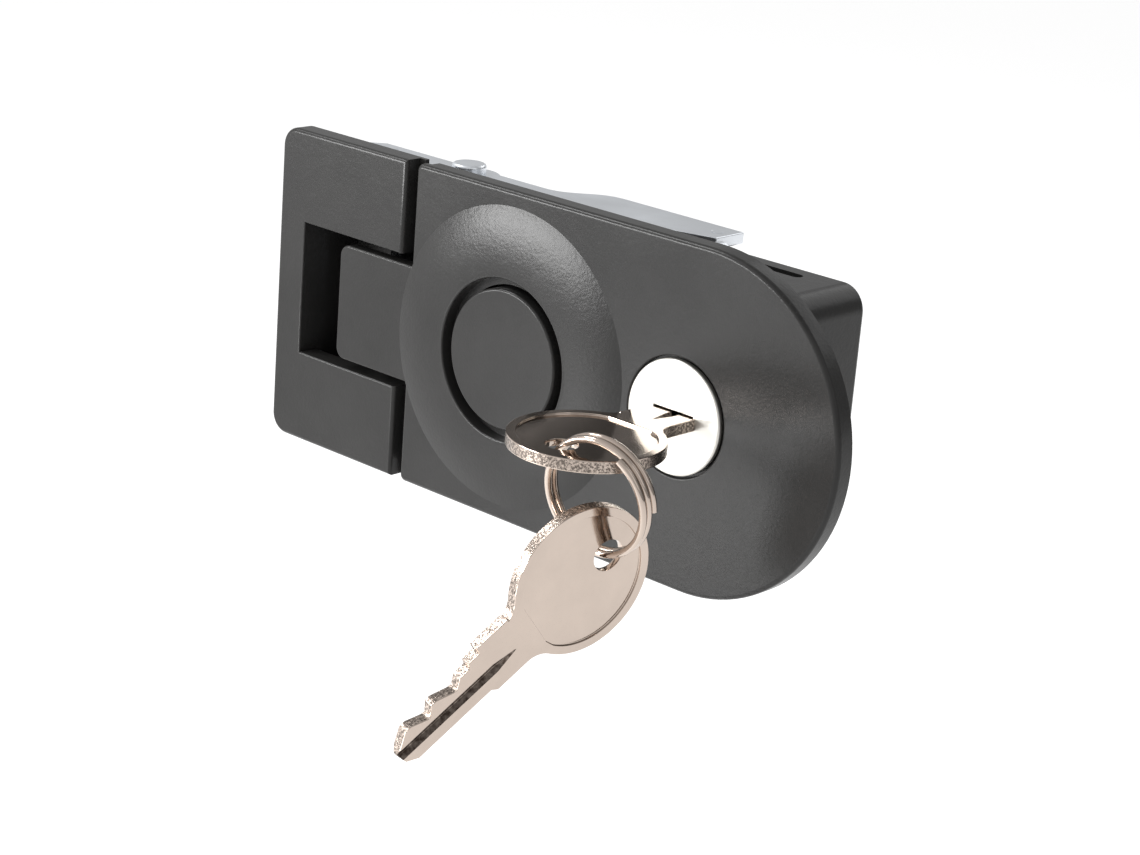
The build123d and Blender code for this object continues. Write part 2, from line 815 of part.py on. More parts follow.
washer_y = depth(washer_depth)
with BuildPart() as cam_washer:
    disc(lock_x, 0, cam_washer_radius, washer_y, washer_y + cam_washer_thickness)
    disc(
        lock_x, 0, cam_screw_radius + running_clearance, washer_y, washer_y + cam_washer_thickness,
        Mode.SUBTRACT,
    )
save(cam_washer, "cam_washer")

screw_y = washer_y + cam_washer_thickness
with BuildPart() as cam_screw:
    disc(lock_x, 0, cam_screw_radius, tail_end - cam_screw_length, screw_y)
    disc(lock_x, 0, cam_screw_head_radius, screw_y, screw_y + cam_screw_head)
    slab(
        lock_x - cam_screw_head_radius, lock_x + cam_screw_head_radius,
        -driver_slot / 2, driver_slot / 2, screw_y + cam_screw_head - driver_slot,
        screw_y + cam_screw_head, Mode.SUBTRACT,
    )
save(cam_screw, "cam_screw")

# Pawl: a steel channel with two arms outside the housing and a nose that reaches left
nose_tip = left_x - nose_reach
pawl_y0 = depth(pawl_front_depth)
pawl_back = depth(pawl_back_depth)
neck_y = depth(pawl_neck_depth)
neck_x = left_x + pawl_neck_end
pawl_right = left_x + pawl_end_from_left
with BuildPart() as pawl:
    with BuildSketch(Plane.XY.offset(-pawl_outer)):
        with BuildLine():
            Polyline(
                (neck_x, neck_y), (nose_tip + nose_web, neck_y),
                (nose_tip + nose_web - nose_root, neck_y - nose_root),
                (nose_tip + nose_web - nose_root, pawl_y0),
                (neck_x + pawl_swell, pawl_y0), (pawl_right, depth(pawl_end_depth)),
                (pawl_right, pawl_back), (neck_x + pawl_swell, pawl_back),
            )
            Spline(
                (neck_x + pawl_swell, pawl_back), (neck_x, neck_y), tangents=((-1, 0), (-1, 0))
            )
        make_face()
        with Locations((cross_x, cross_y)):
            Circle(pawl_eye_radius)
            Circle(cross_pin_radius + running_clearance, mode=Mode.SUBTRACT)
        with Locations((left_x + guide_pin_from_left, depth(guide_slot_depth))):
            Circle(guide_pin_radius, mode=Mode.SUBTRACT)
    extrude(amount=2 * pawl_outer)
    slab(
        nose_tip, pawl_right, -pawl_inner, pawl_inner,
        cross_y - pawl_eye_radius, pawl_back, Mode.SUBTRACT,
    )
    with BuildSketch(level(pawl_y0 + pawl_plate)):
        with BuildLine():
            Polyline(
                (nose_tip + nose_web, -pawl_outer), (nose_tip + nose_web, pawl_outer),
                (nose_tip + nose_web - nose_root, pawl_outer), (nose_tip, nose_tip_height / 2),
                (nose_tip, -nose_tip_height / 2), (nose_tip + nose_web - nose_root, -pawl_outer),
                (nose_tip + nose_web, -pawl_outer),
            )
        make_face()
    extrude(amount=pawl_plate)
save(pawl, "pawl")

with BuildPart() as nose_pad:
    pad_half = nose_tip_height / 2 - pad_margin
    slab(
        nose_tip + pad_margin, nose_tip + nose_web - nose_root - pad_margin, -pad_half, pad_half,
        pawl_y0 - pad_thickness, pawl_y0,
    )
    fillet(nose_pad.edges().filter_by(Axis.Y), radius=pad_thickness)
save(nose_pad, "nose_pad")

# Cross pin through both arms, the housing's slots and the lever's fork
tail_z = -pawl_outer - cross_pin_tail
clip_z = -pawl_outer - side_clearance / 2 - clip_thickness
with BuildPart() as cross_pin:
    bar(cross_x, cross_y, cross_pin_radius, tail_z, pawl_outer)
    bar(
        cross_x, cross_y, cross_pin_head_radius, pawl_outer, pawl_outer + cross_pin_head_height
    )
    fillet(cross_pin.edges().group_by(Axis.Z)[-1], radius=cross_pin_round)
    with BuildSketch(Plane.XY.offset(clip_z)):
        with Locations((cross_x, cross_y)):
            Circle(cross_pin_radius + overcut)
            Circle(cross_pin_radius - clip_groove, mode=Mode.SUBTRACT)
    extrude(amount=clip_thickness, mode=Mode.SUBTRACT)
save(cross_pin, "cross_pin")

with BuildPart() as pin_clip:
    with BuildSketch(Plane.XY.offset(clip_z + running_clearance)):
        with Locations((cross_x, cross_y)):
            Circle(clip_radius)
            Circle(cross_pin_radius - clip_groove + running_clearance, mode=Mode.SUBTRACT)
        with Locations((cross_x, cross_y + clip_radius)):
            Rectangle(cross_pin_radius, 2 * clip_radius, mode=Mode.SUBTRACT)
    extrude(amount=clip_thickness - 2 * running_clearance)
save(pin_clip, "pin_clip")

with BuildPart() as pawl_washers:
    for side in (-1, 1):
        z0, z1 = sorted((side * (box_half + washer_gap), side * pawl_inner))
        bar(cross_x, cross_y, washer_radius, z0, z1)
        bar(cross_x, cross_y, cross_pin_radius + running_clearance, z0, z1, Mode.SUBTRACT)
save(pawl_washers, "pawl_washers")

with BuildPart() as guide_pins:
    for side in (-1, 1):
        z0, z1 = sorted((side * (cavity_half - guide_pin_inset), side * pawl_outer))
        bar(
            left_x + guide_pin_from_left, depth(guide_slot_depth), guide_pin_radius, z0, z1
        )
save(guide_pins, "guide_pins")


def make_key(plane):
    """A flat key on a plane through its bow's centre: x runs to the tip, z out of the bow."""
    half = key_thickness / 2
    shank = shank_width / 2
    blade = blade_width / 2
    with BuildPart() as key:
        with BuildSketch(plane.offset(-half)):
            Circle(bow_radius)
            with BuildLine():
                cut_side = [(shank_end, -blade)]
                for place, cut in zip(bit_places, bit_cuts):
                    cut_side += [(place, -blade + cut), (place + bit_flat, -blade + cut)]
                Polyline(
                    (0, -shank), (shank_end, -shank), *cut_side, (key_length, -blade + key_tip),
                    (key_length, blade - key_tip / 2), (key_length - key_tip / 2, blade),
                    (shank_end, blade), (shank_end - (shank - blade), shank), (0, shank), (0, -shank),
                )
            make_face()
        extrude(amount=key_thickness)
        upright = Axis(plane.origin, plane.z_dir)
        necks = key.edges().filter_by(upright).sort_by_distance(plane.origin)[:2]
        fillet(necks, radius=neck_radius)
        with BuildSketch(plane.offset(half), plane.offset(bow_recess - half)):
            Circle(bow_radius - bow_rim)
            with Locations((bow_line + bow_radius, 0)):
                Rectangle(2 * bow_radius, 2 * bow_radius, mode=Mode.SUBTRACT)
        extrude(amount=-bow_recess, mode=Mode.SUBTRACT)
        with BuildSketch(plane.offset(half)):
            with Locations(((key_groove_start + key_length) / 2, key_groove_offset)):
                Rectangle(key_length - key_groove_start, key_groove_width)
        extrude(amount=-key_groove_depth, mode=Mode.SUBTRACT)
        with BuildSketch(plane.offset(-half)):
            with Locations((-key_hole_offset, 0)):
                Circle(key_hole_radius)
        extrude(amount=key_thickness, mode=Mode.SUBTRACT)
    return key


# Key in the lock, flat, its shoulder against the disc
inserted_key = make_key(
    Plane(origin=(lock_x, key_centre_y, 0), x_dir=(0, 1, 0), z_dir=(0, 0, 1))
)
save(inserted_key, "inserted_key")

# Split ring through both keys
ring_centre = Vector(lock_x + ring_right, key_centre_y - key_hole_offset + ring_back, -ring_drop)
ring_normal = Vector(0, 1, 0).rotate(Axis.Z, ring_lean).rotate(Axis.X, ring_tilt)
ring_plane = Plane(origin=ring_centre, x_dir=ring_normal.cross(Vector(0, 0, 1)), z_dir=ring_normal)
with BuildPart() as key_ring:
    add(coil(
        ring_centre - ring_normal * (ring_pitch * ring_turns / 2), ring_normal,
        ring_radius, ring_wire, ring_turns, ring_pitch * ring_turns,
    ))
save(key_ring, "key_ring")

# Spare key hanging from the ring
hang_angle = radians(spare_key_hang)
hang_point = ring_plane.from_local_coords((
    ring_radius * sin(hang_angle), ring_radius * cos(hang_angle), 0
))
blade_dir = Vector(0, 0, -1).rotate(Axis.X, -spare_key_lean).rotate(Axis.Z, -spare_key_twist)
flat_dir = Vector(1, 0, 0).rotate(Axis.Z, -spare_key_twist)
flat_dir = flat_dir.rotate(Axis((0, 0, 0), blade_dir), -spare_key_roll)
spare_centre = hang_point + blade_dir * (key_hole_offset + spare_key_slack)
spare_key = make_key(Plane(origin=spare_centre, x_dir=blade_dir, z_dir=flat_dir))
save(spare_key, "spare_key")
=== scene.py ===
import json
import math

import bmesh
import bpy
from bpy.props import FloatProperty, FloatVectorProperty, IntProperty, PointerProperty
from mathutils import Matrix, Vector


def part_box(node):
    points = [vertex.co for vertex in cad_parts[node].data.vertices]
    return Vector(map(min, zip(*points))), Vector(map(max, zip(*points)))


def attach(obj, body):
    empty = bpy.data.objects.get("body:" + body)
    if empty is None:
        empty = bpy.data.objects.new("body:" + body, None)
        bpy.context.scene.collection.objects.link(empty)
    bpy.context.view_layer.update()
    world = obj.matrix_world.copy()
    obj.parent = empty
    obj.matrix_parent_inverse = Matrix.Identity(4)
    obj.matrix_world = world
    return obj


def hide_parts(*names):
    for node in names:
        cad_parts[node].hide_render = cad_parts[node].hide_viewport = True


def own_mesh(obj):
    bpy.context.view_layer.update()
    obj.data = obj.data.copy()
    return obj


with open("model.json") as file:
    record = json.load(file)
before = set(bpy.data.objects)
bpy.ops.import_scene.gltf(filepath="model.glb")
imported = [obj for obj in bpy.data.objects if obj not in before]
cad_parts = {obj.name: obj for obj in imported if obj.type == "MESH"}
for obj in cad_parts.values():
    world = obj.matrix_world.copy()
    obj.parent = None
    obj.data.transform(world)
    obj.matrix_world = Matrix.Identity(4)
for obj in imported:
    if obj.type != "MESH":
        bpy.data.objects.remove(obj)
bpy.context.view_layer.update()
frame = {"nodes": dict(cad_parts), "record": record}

bl_info = {
    "name": "Lever Touch Latch",
    "version": (1, 0, 0),
    "blender": (4, 5, 0),
    "location": "View3D > Sidebar > Latch",
    "description": "Finishes and modelled pieces of a flush lever latch with its lock and keys",
    "category": "Object",
}

MM = 0.001

# The photograph's camera, in the latch's frame
CAMERA_PLACE = Vector((285.91, -303.23, 122.17)) * MM
CAMERA_RIGHT = Vector((0.72955, 0.67970, 0.07599))
CAMERA_DOWN = Vector((0.26483, -0.17830, -0.94767))
FOCAL_LENGTH_PX = 2554.281
IMAGE_WIDTH_PX = 1140
SENSOR_WIDTH = 36.0

# Planes and centres of the latch, from the frame
FACE_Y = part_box("housing")[0].y
BOX_BACK_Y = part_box("housing")[1].y
DISC_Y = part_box("lock_plug")[0].y
BUTTON_LOW, BUTTON_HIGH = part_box("release_button")
BUTTON_X = (BUTTON_LOW.x + BUTTON_HIGH.x) / 2

# Limits for what is near, merged, raised, flat and sharp
NEAR = 0.01 * MM
MERGE_DISTANCE = 0.2 * NEAR
RAISED = 10 * NEAR
FLAT_ANGLE = math.radians(0.15)
SHARP_ANGLE = math.radians(40)
KEY_SHARP_ANGLE = math.radians(50)

# Dome of the lever round its button well
DOME_RADIUS = 25.85 * MM
DOME_RISE = 1.5 * MM
WELL_RADIUS = 13.9 * MM
WELL_DEPTH = 1.02 * MM
WELL_ROUND = 0.35 * MM
DOME_SKIRT = 3 * MM
DOME_STEPS = 160
DOME_SLOPE_STEPS = 24
WELL_ROUND_STEPS = 4

# Key, in its own frame: along to the tip, across away from the cuts, out of the shown face
BOW_RADIUS = 12.4
KEY_THICKNESS = 2.0
NECK_RADIUS = 4.0
SHANK_HALF = 4.6
BLADE_HALF = 3.7
SHANK_END = 20.0
KEY_LENGTH = 38.0
NECK_STOP = 112.0
BLOCK_START = 12.8
BLOCK_END = 19.2
BLOCK_HALF = 5.0
CUT_PROFILE = (
    (BLOCK_END, -3.8), (21.4, -3.8), (21.7, -2.8), (23.7, -2.8), (25.0, -1.4), (25.7, -1.5), (28.6, -2.75),
    (29.5, -2.7), (30.6, -1.05), (31.2, -1.1), (33.8, -2.4), (34.9, -2.35), (KEY_LENGTH, 0.5),
    (KEY_LENGTH - 0.5, 2.4), (KEY_LENGTH - 2.4, BLADE_HALF),
)
SHANK_STEP = 0.9
HOLE_OFFSET = 5.6
HOLE_RADIUS = 2.6
HOLE_MARGIN = 0.3
RECESS_END = 9.8
RECESS_CORNER = 0.6
RECESS_TAB = 1.1
RECESS_TAB_END = 1.5 * RECESS_TAB
RECESS_TAB_STEP = 0.2
GROOVE_START = 13.4
GROOVE_FULL = 18.5
GROOVE_OFFSET = 0.7
GROOVE_REACH = 1.1
GROOVE_OVERRUN = 1.0
CUTTER_ABOVE = 5 * NEAR

# Tilt of a key's faces, as the share of the normal that points out of the key
GROOVE_TILT = (0.2, 0.97)
EDGE_TILT = 0.3

# Straight steps that the key's round stretches are made of
BOW_STEPS = 120
RECESS_STEPS = 100
CUT_NECK_STEPS = 8
BACK_NECK_STEPS = 12
HOLE_SIDES = 48

# Split ring and the spare key that hangs on it
RING_CENTRE = Vector((50.7, -30.2, -5.7))
RING_NORMAL = Vector((-0.0872, 0.9839, 0.1558)).normalized()
RING_RADIUS = 9.15
RING_START_ANGLE = -57.0
RING_STEPS_PER_TURN = 96
SPARE_BLADE = Vector((-0.2172, -0.7575, -0.6157)).normalized()
SPARE_FLAT = Vector((0.976, -0.1775, -0.126)).normalized()
SPARE_HANG = Vector((52.16, -28.66, -14.60))
SPARE_HANG_TO_BOW = 6.0

# Stage
CLIP_START = 0.01
FLOOR_Z = -0.16
FLOOR_SIZE = 6.0
FLOOR_SHADE = 0.8
FLOOR_ROUGHNESS = 0.9
FLOOR_GLOW = 0.5
TENT_BRIGHT_SIDE = Vector((-0.6, -0.75, -0.1)).normalized()
TENT_STRENGTH = (0.3, 0.9)
FRONT_LIGHT_AIM = Vector((-0.58, -0.74, -0.34)).normalized()
DOME_LIGHT_AIM = Vector((-0.6, -0.79, 0.08)).normalized()
EDGE_LIGHT_AIM = Vector((-0.6, -0.3, 0.74)).normalized()
FRONT_LIGHT_DISTANCE = 0.3
DOME_LIGHT_DISTANCE = 0.35
EDGE_LIGHT_DISTANCE = 0.9
LATCH_CENTRE = Vector((0.01, 0, 0))
FACE_PATCH = Vector((60, -5, 2)) * MM
DOME_SLOPE = Vector((12, -6, 19)) * MM

# Studio lights: name, place, target, width and height in metres, and watts
STUDIO_LIGHTS = (
    ("edge_light", LATCH_CENTRE + EDGE_LIGHT_AIM * EDGE_LIGHT_DISTANCE, LATCH_CENTRE, (0.25, 0.25), 2.6),
    ("side_light", Vector((0.8, -0.1, 0.45)), LATCH_CENTRE, (0.4, 0.6), 0.4),
    ("back_light", Vector((0.1, 0.7, 0.5)), LATCH_CENTRE, (0.8, 0.3), 1.0),
    ("front_light", FACE_PATCH + FRONT_LIGHT_AIM * FRONT_LIGHT_DISTANCE, FACE_PATCH, (0.08, 0.06), 0.07),
    ("dome_light", DOME_SLOPE + DOME_LIGHT_AIM * DOME_LIGHT_DISTANCE, DOME_SLOPE, (0.2, 0.08), 1.2),
)

# Noise scales of the finishes, per metre, with their shares and the depths of their bumps
GRAIN_SCALE = 1500.0
DIMPLE_SCALE = 420.0
DIMPLE_SHARE = 0.8
GRAIN_PER_DIMPLE = 3.5
SMUDGE_SCALE = 60.0
SCRATCH_SCALE = 900.0
TEAR_SCALE = 2600.0
STREAK_SCALE = 1100.0
KEY_GRAIN_SCALE = 1400.0
KEY_GRAIN_SHARE = 0.05
FINISH_BUMP = 0.035 * MM
KEY_BUMP = 0.09 * MM
KEY_BUMP_STRENGTH = 0.7

# Handling marks: where the noise turns into smudge or scratch, and how the scratches lie
SMUDGE_RANGE = (0.35, 0.7)
SCRATCH_RANGE = (0.6, 0.75)
SCRATCH_TURN = (0.5, 0.3, 0.7)
SCRATCH_STRETCH = (1.0, 0.05, 1.0)

# Torn, darker grain on the keys' stamped edges, and the dirt in their groove
TORN_RANGE = (0.42, 0.56)
TORN_SHADE = 0.25
TORN_ROUGHNESS = 0.22
DIRT_RANGE = (0.3, 0.62)
DIRT_SHARE = (0.55, 1.0)
DIRT_COLOUR = (0.06, 0.043, 0.034)


class LatchKeySettings(bpy.types.PropertyGroup):
    """Sizes of the two flat keys"""

    rim_width: FloatProperty(
        name="Bow rim", description="Width of the raised rim round the bow",
        default=1.5 * MM, min=0.5 * MM, max=3 * MM, unit="LENGTH",
    )
    recess_depth: FloatProperty(
        name="Bow recess", description="Depth of the coined field inside the rim",
        default=0.4 * MM, min=0.1 * MM, max=0.7 * MM, unit="LENGTH",
    )
    groove_width: FloatProperty(
        name="Groove width", description="Width of the milled groove in the blade",
        default=2.0 * MM, min=0.5 * MM, max=3 * MM, unit="LENGTH",
    )
    groove_depth: FloatProperty(
        name="Groove depth", description="Depth of the milled groove",
        default=0.6 * MM, min=0.1 * MM, max=0.8 * MM, unit="LENGTH",
    )
    edge_round: FloatProperty(
        name="Edge round", description="Rounding of the stamped edges",
        default=0.17 * MM, min=0.02 * MM, max=0.3 * MM, unit="LENGTH",
    )


class LatchRingSettings(bpy.types.PropertyGroup):
    """Sizes of the split ring"""

    wire_radius: FloatProperty(
        name="Wire radius", description="Radius of the ring's wire",
        default=0.62 * MM, min=0.3 * MM, max=1 * MM, unit="LENGTH",
    )
    pitch: FloatProperty(
        name="Pitch", description="Distance from one turn to the next",
        default=1.26 * MM, min=0.6 * MM, max=2 * MM, unit="LENGTH",
    )
    turns: FloatProperty(
        name="Turns", description="Number of turns, the overlap included",
        default=2.17, min=1.5, max=3.0,
    )


class LatchEdgeSettings(bpy.types.PropertyGroup):
    """Rounding of the cast and sheet pieces' edges"""

    face_round: FloatProperty(
        name="Face edges", description="Rounding of the pocket, tongue and gap edges",
        default=0.35 * MM, min=0.05 * MM, max=1 * MM, unit="LENGTH",
    )
    box_round: FloatProperty(
        name="Box edges", description="Rounding of the box's back edges",
        default=1.0 * MM, min=0.1 * MM, max=1.5 * MM, unit="LENGTH",
    )
    sheet_round: FloatProperty(
        name="Sheet edges", description="Rounding of the plated sheet's edges",
        default=0.22 * MM, min=0.05 * MM, max=0.5 * MM, unit="LENGTH",
    )
    segments: IntProperty(
        name="Segments", description="Faces across each rounded edge", default=3, min=1, max=6,
    )


class LatchFinishSettings(bpy.types.PropertyGroup):
    """Colours of the latch's main finishes"""

    coat: FloatVectorProperty(
        name="Black coat", description="Colour of the satin coat", subtype="COLOR", size=3,
        default=(0.022, 0.0215, 0.021), min=0.0, max=1.0,
    )
    zinc: FloatVectorProperty(
        name="Zinc plate", description="Colour of the zinc plated pieces", subtype="COLOR", size=3,
        default=(0.82, 0.85, 0.89), min=0.0, max=1.0,
    )
    key_nickel: FloatVectorProperty(
        name="Key nickel", description="Colour of the keys and their ring", subtype="COLOR", size=3,
        default=(0.54, 0.455, 0.395), min=0.0, max=1.0,
    )
    lock_nickel: FloatVectorProperty(
        name="Lock nickel", description="Colour of the lock's plug and barrel", subtype="COLOR", size=3,
        default=(0.6, 0.588, 0.55), min=0.0, max=1.0,
    )


# Shared shader effects

def new_group(name, inputs, outputs):
    """An empty shader node group with float inputs (name, default) and named float outputs."""
    group = bpy.data.node_groups.new(name, "ShaderNodeTree")
    for socket, default in inputs:
        made = group.interface.new_socket(socket, in_out="INPUT", socket_type="NodeSocketFloat")
        made.default_value = default
    for socket in outputs:
        group.interface.new_socket(socket, in_out="OUTPUT", socket_type="NodeSocketFloat")
    enter = group.nodes.new("NodeGroupInput")
    leave = group.nodes.new("NodeGroupOutput")
    return group, enter, leave


def add_noise(tree, vector, scale, detail, roughness=0.5):
    """A noise texture fed by a vector socket."""
    noise = tree.nodes.new("ShaderNodeTexNoise")
    noise.inputs["Scale"].default_value = scale
    noise.inputs["Detail"].default_value = detail
    noise.inputs["Roughness"].default_value = roughness
    tree.links.new(vector, noise.inputs["Vector"])
    return noise


def add_range(tree, value, low, high, out_low, out_high):
    """A map range node that clamps a value between two output values."""
    node = tree.nodes.new("ShaderNodeMapRange")
    sockets = ("From Min", "From Max", "To Min", "To Max")
    for socket, number in zip(sockets, (low, high, out_low, out_high)):
        node.inputs[socket].default_value = number
    tree.links.new(value, node.inputs["Value"])
    return node.outputs["Result"]


def add_math(tree, operation, first, second):
    """A math node over sockets or numbers."""
    node = tree.nodes.new("ShaderNodeMath")
    node.operation = operation
    for socket, value in zip(node.inputs, (first, second)):
        if isinstance(value, (int, float)):
            socket.default_value = value
        else:
            tree.links.new(value, socket)
    return node.outputs[0]


def add_mix(tree, factor, first, second):
    """A colour mix between two colours or sockets."""
    mix = tree.nodes.new("ShaderNodeMix")
    mix.data_type = "RGBA"
    for name, value in (("A", first), ("B", second)):
        if isinstance(value, (tuple, list)):
            mix.inputs[name].default_value = (*value, 1.0)
        else:
            tree.links.new(value, mix.inputs[name])
    tree.links.new(factor, mix.inputs["Factor"])
    return mix.outputs["Result"]


def peel_group():
    """Fine orange peel of a sprayed or powder coat, with sparse larger dimples."""
    inputs = [("Grain", GRAIN_SCALE), ("Dimples", DIMPLE_SCALE)]
    group, enter, leave = new_group("coat_peel", inputs, ["Height"])
    coords = group.nodes.new("ShaderNodeTexCoord").outputs["Object"]
    grain = add_noise(group, coords, GRAIN_SCALE, 3.0)
    dimples = add_noise(group, coords, DIMPLE_SCALE, 1.0)
    group.links.new(enter.outputs["Grain"], grain.inputs["Scale"])
    group.links.new(enter.outputs["Dimples"], dimples.inputs["Scale"])
    soft = add_math(group, "MULTIPLY", dimples.outputs["Fac"], DIMPLE_SHARE)
    group.links.new(add_math(group, "ADD", grain.outputs["Fac"], soft), leave.inputs["Height"])
    return group


def handling_group():
    """Broad smudges and fine scratches from handling, as two masks."""
    inputs = [("Smudge Scale", SMUDGE_SCALE), ("Scratch Scale", SCRATCH_SCALE)]
    group, enter, leave = new_group("handling", inputs, ["Smudge", "Scratch"])
    coords = group.nodes.new("ShaderNodeTexCoord").outputs["Object"]
    smudge = add_noise(group, coords, SMUDGE_SCALE, 5.0, 0.6)
    group.links.new(enter.outputs["Smudge Scale"], smudge.inputs["Scale"])
    turn = group.nodes.new("ShaderNodeMapping")
    turn.inputs["Rotation"].default_value = SCRATCH_TURN
    turn.inputs["Scale"].default_value = SCRATCH_STRETCH
    group.links.new(coords, turn.inputs["Vector"])
    scratch = add_noise(group, turn.outputs["Vector"], SCRATCH_SCALE, 2.0)
    group.links.new(enter.outputs["Scratch Scale"], scratch.inputs["Scale"])
    smudged = add_range(group, smudge.outputs["Fac"], *SMUDGE_RANGE, 0.0, 1.0)
    scratched = add_range(group, scratch.outputs["Fac"], *SCRATCH_RANGE, 0.0, 1.0)
    group.links.new(smudged, leave.inputs["Smudge"])
    group.links.new(scratched, leave.inputs["Scratch"])
    return group


GROUP_MAKERS = {"coat_peel": peel_group, "handling": handling_group}


def place_group(tree, name, **values):
    """A shared effect placed in a material with its own values."""
    node = tree.nodes.new("ShaderNodeGroup")
    node.node_tree = bpy.data.node_groups.get(name) or GROUP_MAKERS[name]()
    for socket, value in values.items():
        node.inputs[socket.replace("_", " ")].default_value = value
    return node


def shade(colour, share):
    """A colour times a share, channel by channel."""
    return tuple(channel * share for channel in colour)


def finish_material(
    name, colour, spread, rough, metallic=0.0, peel=0.0, grain=GRAIN_SCALE, smudge=SMUDGE_SCALE, specular=0.5
):
    """A procedural finish: mottled colour, smudged roughness and a fine bump."""
    material = bpy.data.materials.new(name)
    material.use_nodes = True
    tree = material.node_tree
    shader = tree.nodes["Principled BSDF"]
    shader.inputs["Metallic"].default_value = metallic
    shader.inputs["Specular IOR Level"].default_value = specular
    marks = place_group(tree, "handling", Smudge_Scale=smudge, Scratch_Scale=SCRATCH_SCALE)
    mottled = add_mix(tree, marks.outputs["Smudge"], shade(colour, 1 - spread), shade(colour, 1 + spread))
    tree.links.new(mottled, shader.inputs["Base Color"])
    marked = add_math(tree, "ADD", marks.outputs["Smudge"], marks.outputs["Scratch"])
    tree.links.new(add_range(tree, marked, 0.0, 2.0, *rough), shader.inputs["Roughness"])
    if peel:
        height = place_group(tree, "coat_peel", Grain=grain, Dimples=grain / GRAIN_PER_DIMPLE)
        bump = tree.nodes.new("ShaderNodeBump")
        bump.inputs["Strength"].default_value = peel
        bump.inputs["Distance"].default_value = FINISH_BUMP
        tree.links.new(height.outputs["Height"], bump.inputs["Height"])
        tree.links.new(bump.outputs["Normal"], shader.inputs["Normal"])
    return material


def key_material(name, colour):
    """Nickel plate of the keys: polished flats, grainy stamped edges and dark dirt in the groove."""
    material = finish_material(name, colour, 0.05, (0.1, 0.2), metallic=1.0, smudge=90.0)
    tree = material.node_tree
    shader = tree.nodes["Principled BSDF"]
    edge = tree.nodes.new("ShaderNodeAttribute")
    edge.attribute_name = "stamped_edge"
    groove = tree.nodes.new("ShaderNodeAttribute")
    groove.attribute_name = "groove"
    coords = tree.nodes.new("ShaderNodeTexCoord").outputs["Object"]
    tears = add_noise(tree, coords, TEAR_SCALE, 4.0, 0.7)
    streaks = add_noise(tree, coords, STREAK_SCALE, 3.0, 0.6)
    plain = shader.inputs["Base Color"].links[0].from_socket
    torn = add_range(tree, tears.outputs["Fac"], *TORN_RANGE, 0.0, 1.0)
    on_edge = add_math(tree, "MULTIPLY", torn, edge.outputs["Fac"])
    edged = add_mix(tree, on_edge, plain, shade(colour, TORN_SHADE))
    dirt = add_range(tree, streaks.outputs["Fac"], *DIRT_RANGE, *DIRT_SHARE)
    in_groove = add_math(tree, "MULTIPLY", dirt, groove.outputs["Fac"])
    dirty = add_mix(tree, in_groove, edged, DIRT_COLOUR)
    tree.links.new(dirty, shader.inputs["Base Color"])
    plain_rough = shader.inputs["Roughness"].links[0].from_socket
    rougher = add_math(tree, "MULTIPLY", on_edge, TORN_ROUGHNESS)
    tree.links.new(add_math(tree, "ADD", plain_rough, rougher), shader.inputs["Roughness"])
    grain = add_noise(tree, coords, KEY_GRAIN_SCALE, 2.0)
    fine = add_math(tree, "MULTIPLY", grain.outputs["Fac"], KEY_GRAIN_SHARE)
    rough_edge = add_math(tree, "MULTIPLY", tears.outputs["Fac"], edge.outputs["Fac"])
    height = add_math(tree, "ADD", fine, rough_edge)
    bump = tree.nodes.new("ShaderNodeBump")
    bump.inputs["Strength"].default_value = KEY_BUMP_STRENGTH
    bump.inputs["Distance"].default_value = KEY_BUMP
    tree.links.new(height, bump.inputs["Height"])
    tree.links.new(bump.outputs["Normal"], shader.inputs["Normal"])
    return material


def latch_material(slot):
    """The finish of a material slot of the record, made once."""
    name = slot + "_finish"
    if name in bpy.data.materials:
        return bpy.data.materials[name]
    colours = bpy.context.scene.latch_finish
    coat, zinc, lock = (tuple(value) for value in (colours.coat, colours.zinc, colours.lock_nickel))
    if slot == "black_paint":
        return finish_material(name, coat, 0.1, (0.28, 0.34), peel=0.8, grain=1900.0, specular=0.25)
    if slot == "foam_rubber":
        return finish_material(name, (0.026, 0.026, 0.026), 0.3, (0.8, 0.95), peel=0.9, grain=1400.0)
    if slot == "zinc_steel":
        return finish_material(name, zinc, 0.07, (0.3, 0.46), metallic=1.0, peel=0.25, grain=1200.0)
    if slot == "spring_steel":
        return finish_material(name, (0.46, 0.47, 0.5), 0.15, (0.22, 0.35), metallic=1.0, peel=0.1)
    if slot == "white_nylon":
        return finish_material(name, (0.76, 0.75, 0.7), 0.05, (0.4, 0.55), peel=0.2, grain=900.0)
    if slot == "lock_nickel":
        return finish_material(name, lock, 0.04, (0.4, 0.5), metallic=1.0, peel=0.15, grain=2600.0)
    if slot == "wafer_brass":
        return finish_material(name, (0.63, 0.47, 0.23), 0.14, (0.25, 0.4), metallic=1.0, peel=0.1)
    if slot == "key_nickel":
        return key_material(name, tuple(colours.key_nickel))
    raise ValueError("no finish is made for the slot " + slot)


# Mesh helpers

def activate(piece):
    """Select one object alone and make it the active one."""
    if bpy.context.object and bpy.context.object.mode != "OBJECT":
        bpy.ops.object.mode_set(mode="OBJECT")
    bpy.ops.object.select_all(action="DESELECT")
    piece.select_set(True)
    bpy.context.view_layer.objects.active = piece
    return piece


def new_piece(name, points, faces):
    """A mesh object from points and faces, linked, selected and active."""
    mesh = bpy.data.meshes.new(name)
    mesh.from_pydata([tuple(point) for point in points], [], faces)
    piece = bpy.data.objects.new(name, mesh)
    bpy.context.scene.collection.objects.link(piece)
    return activate(piece)


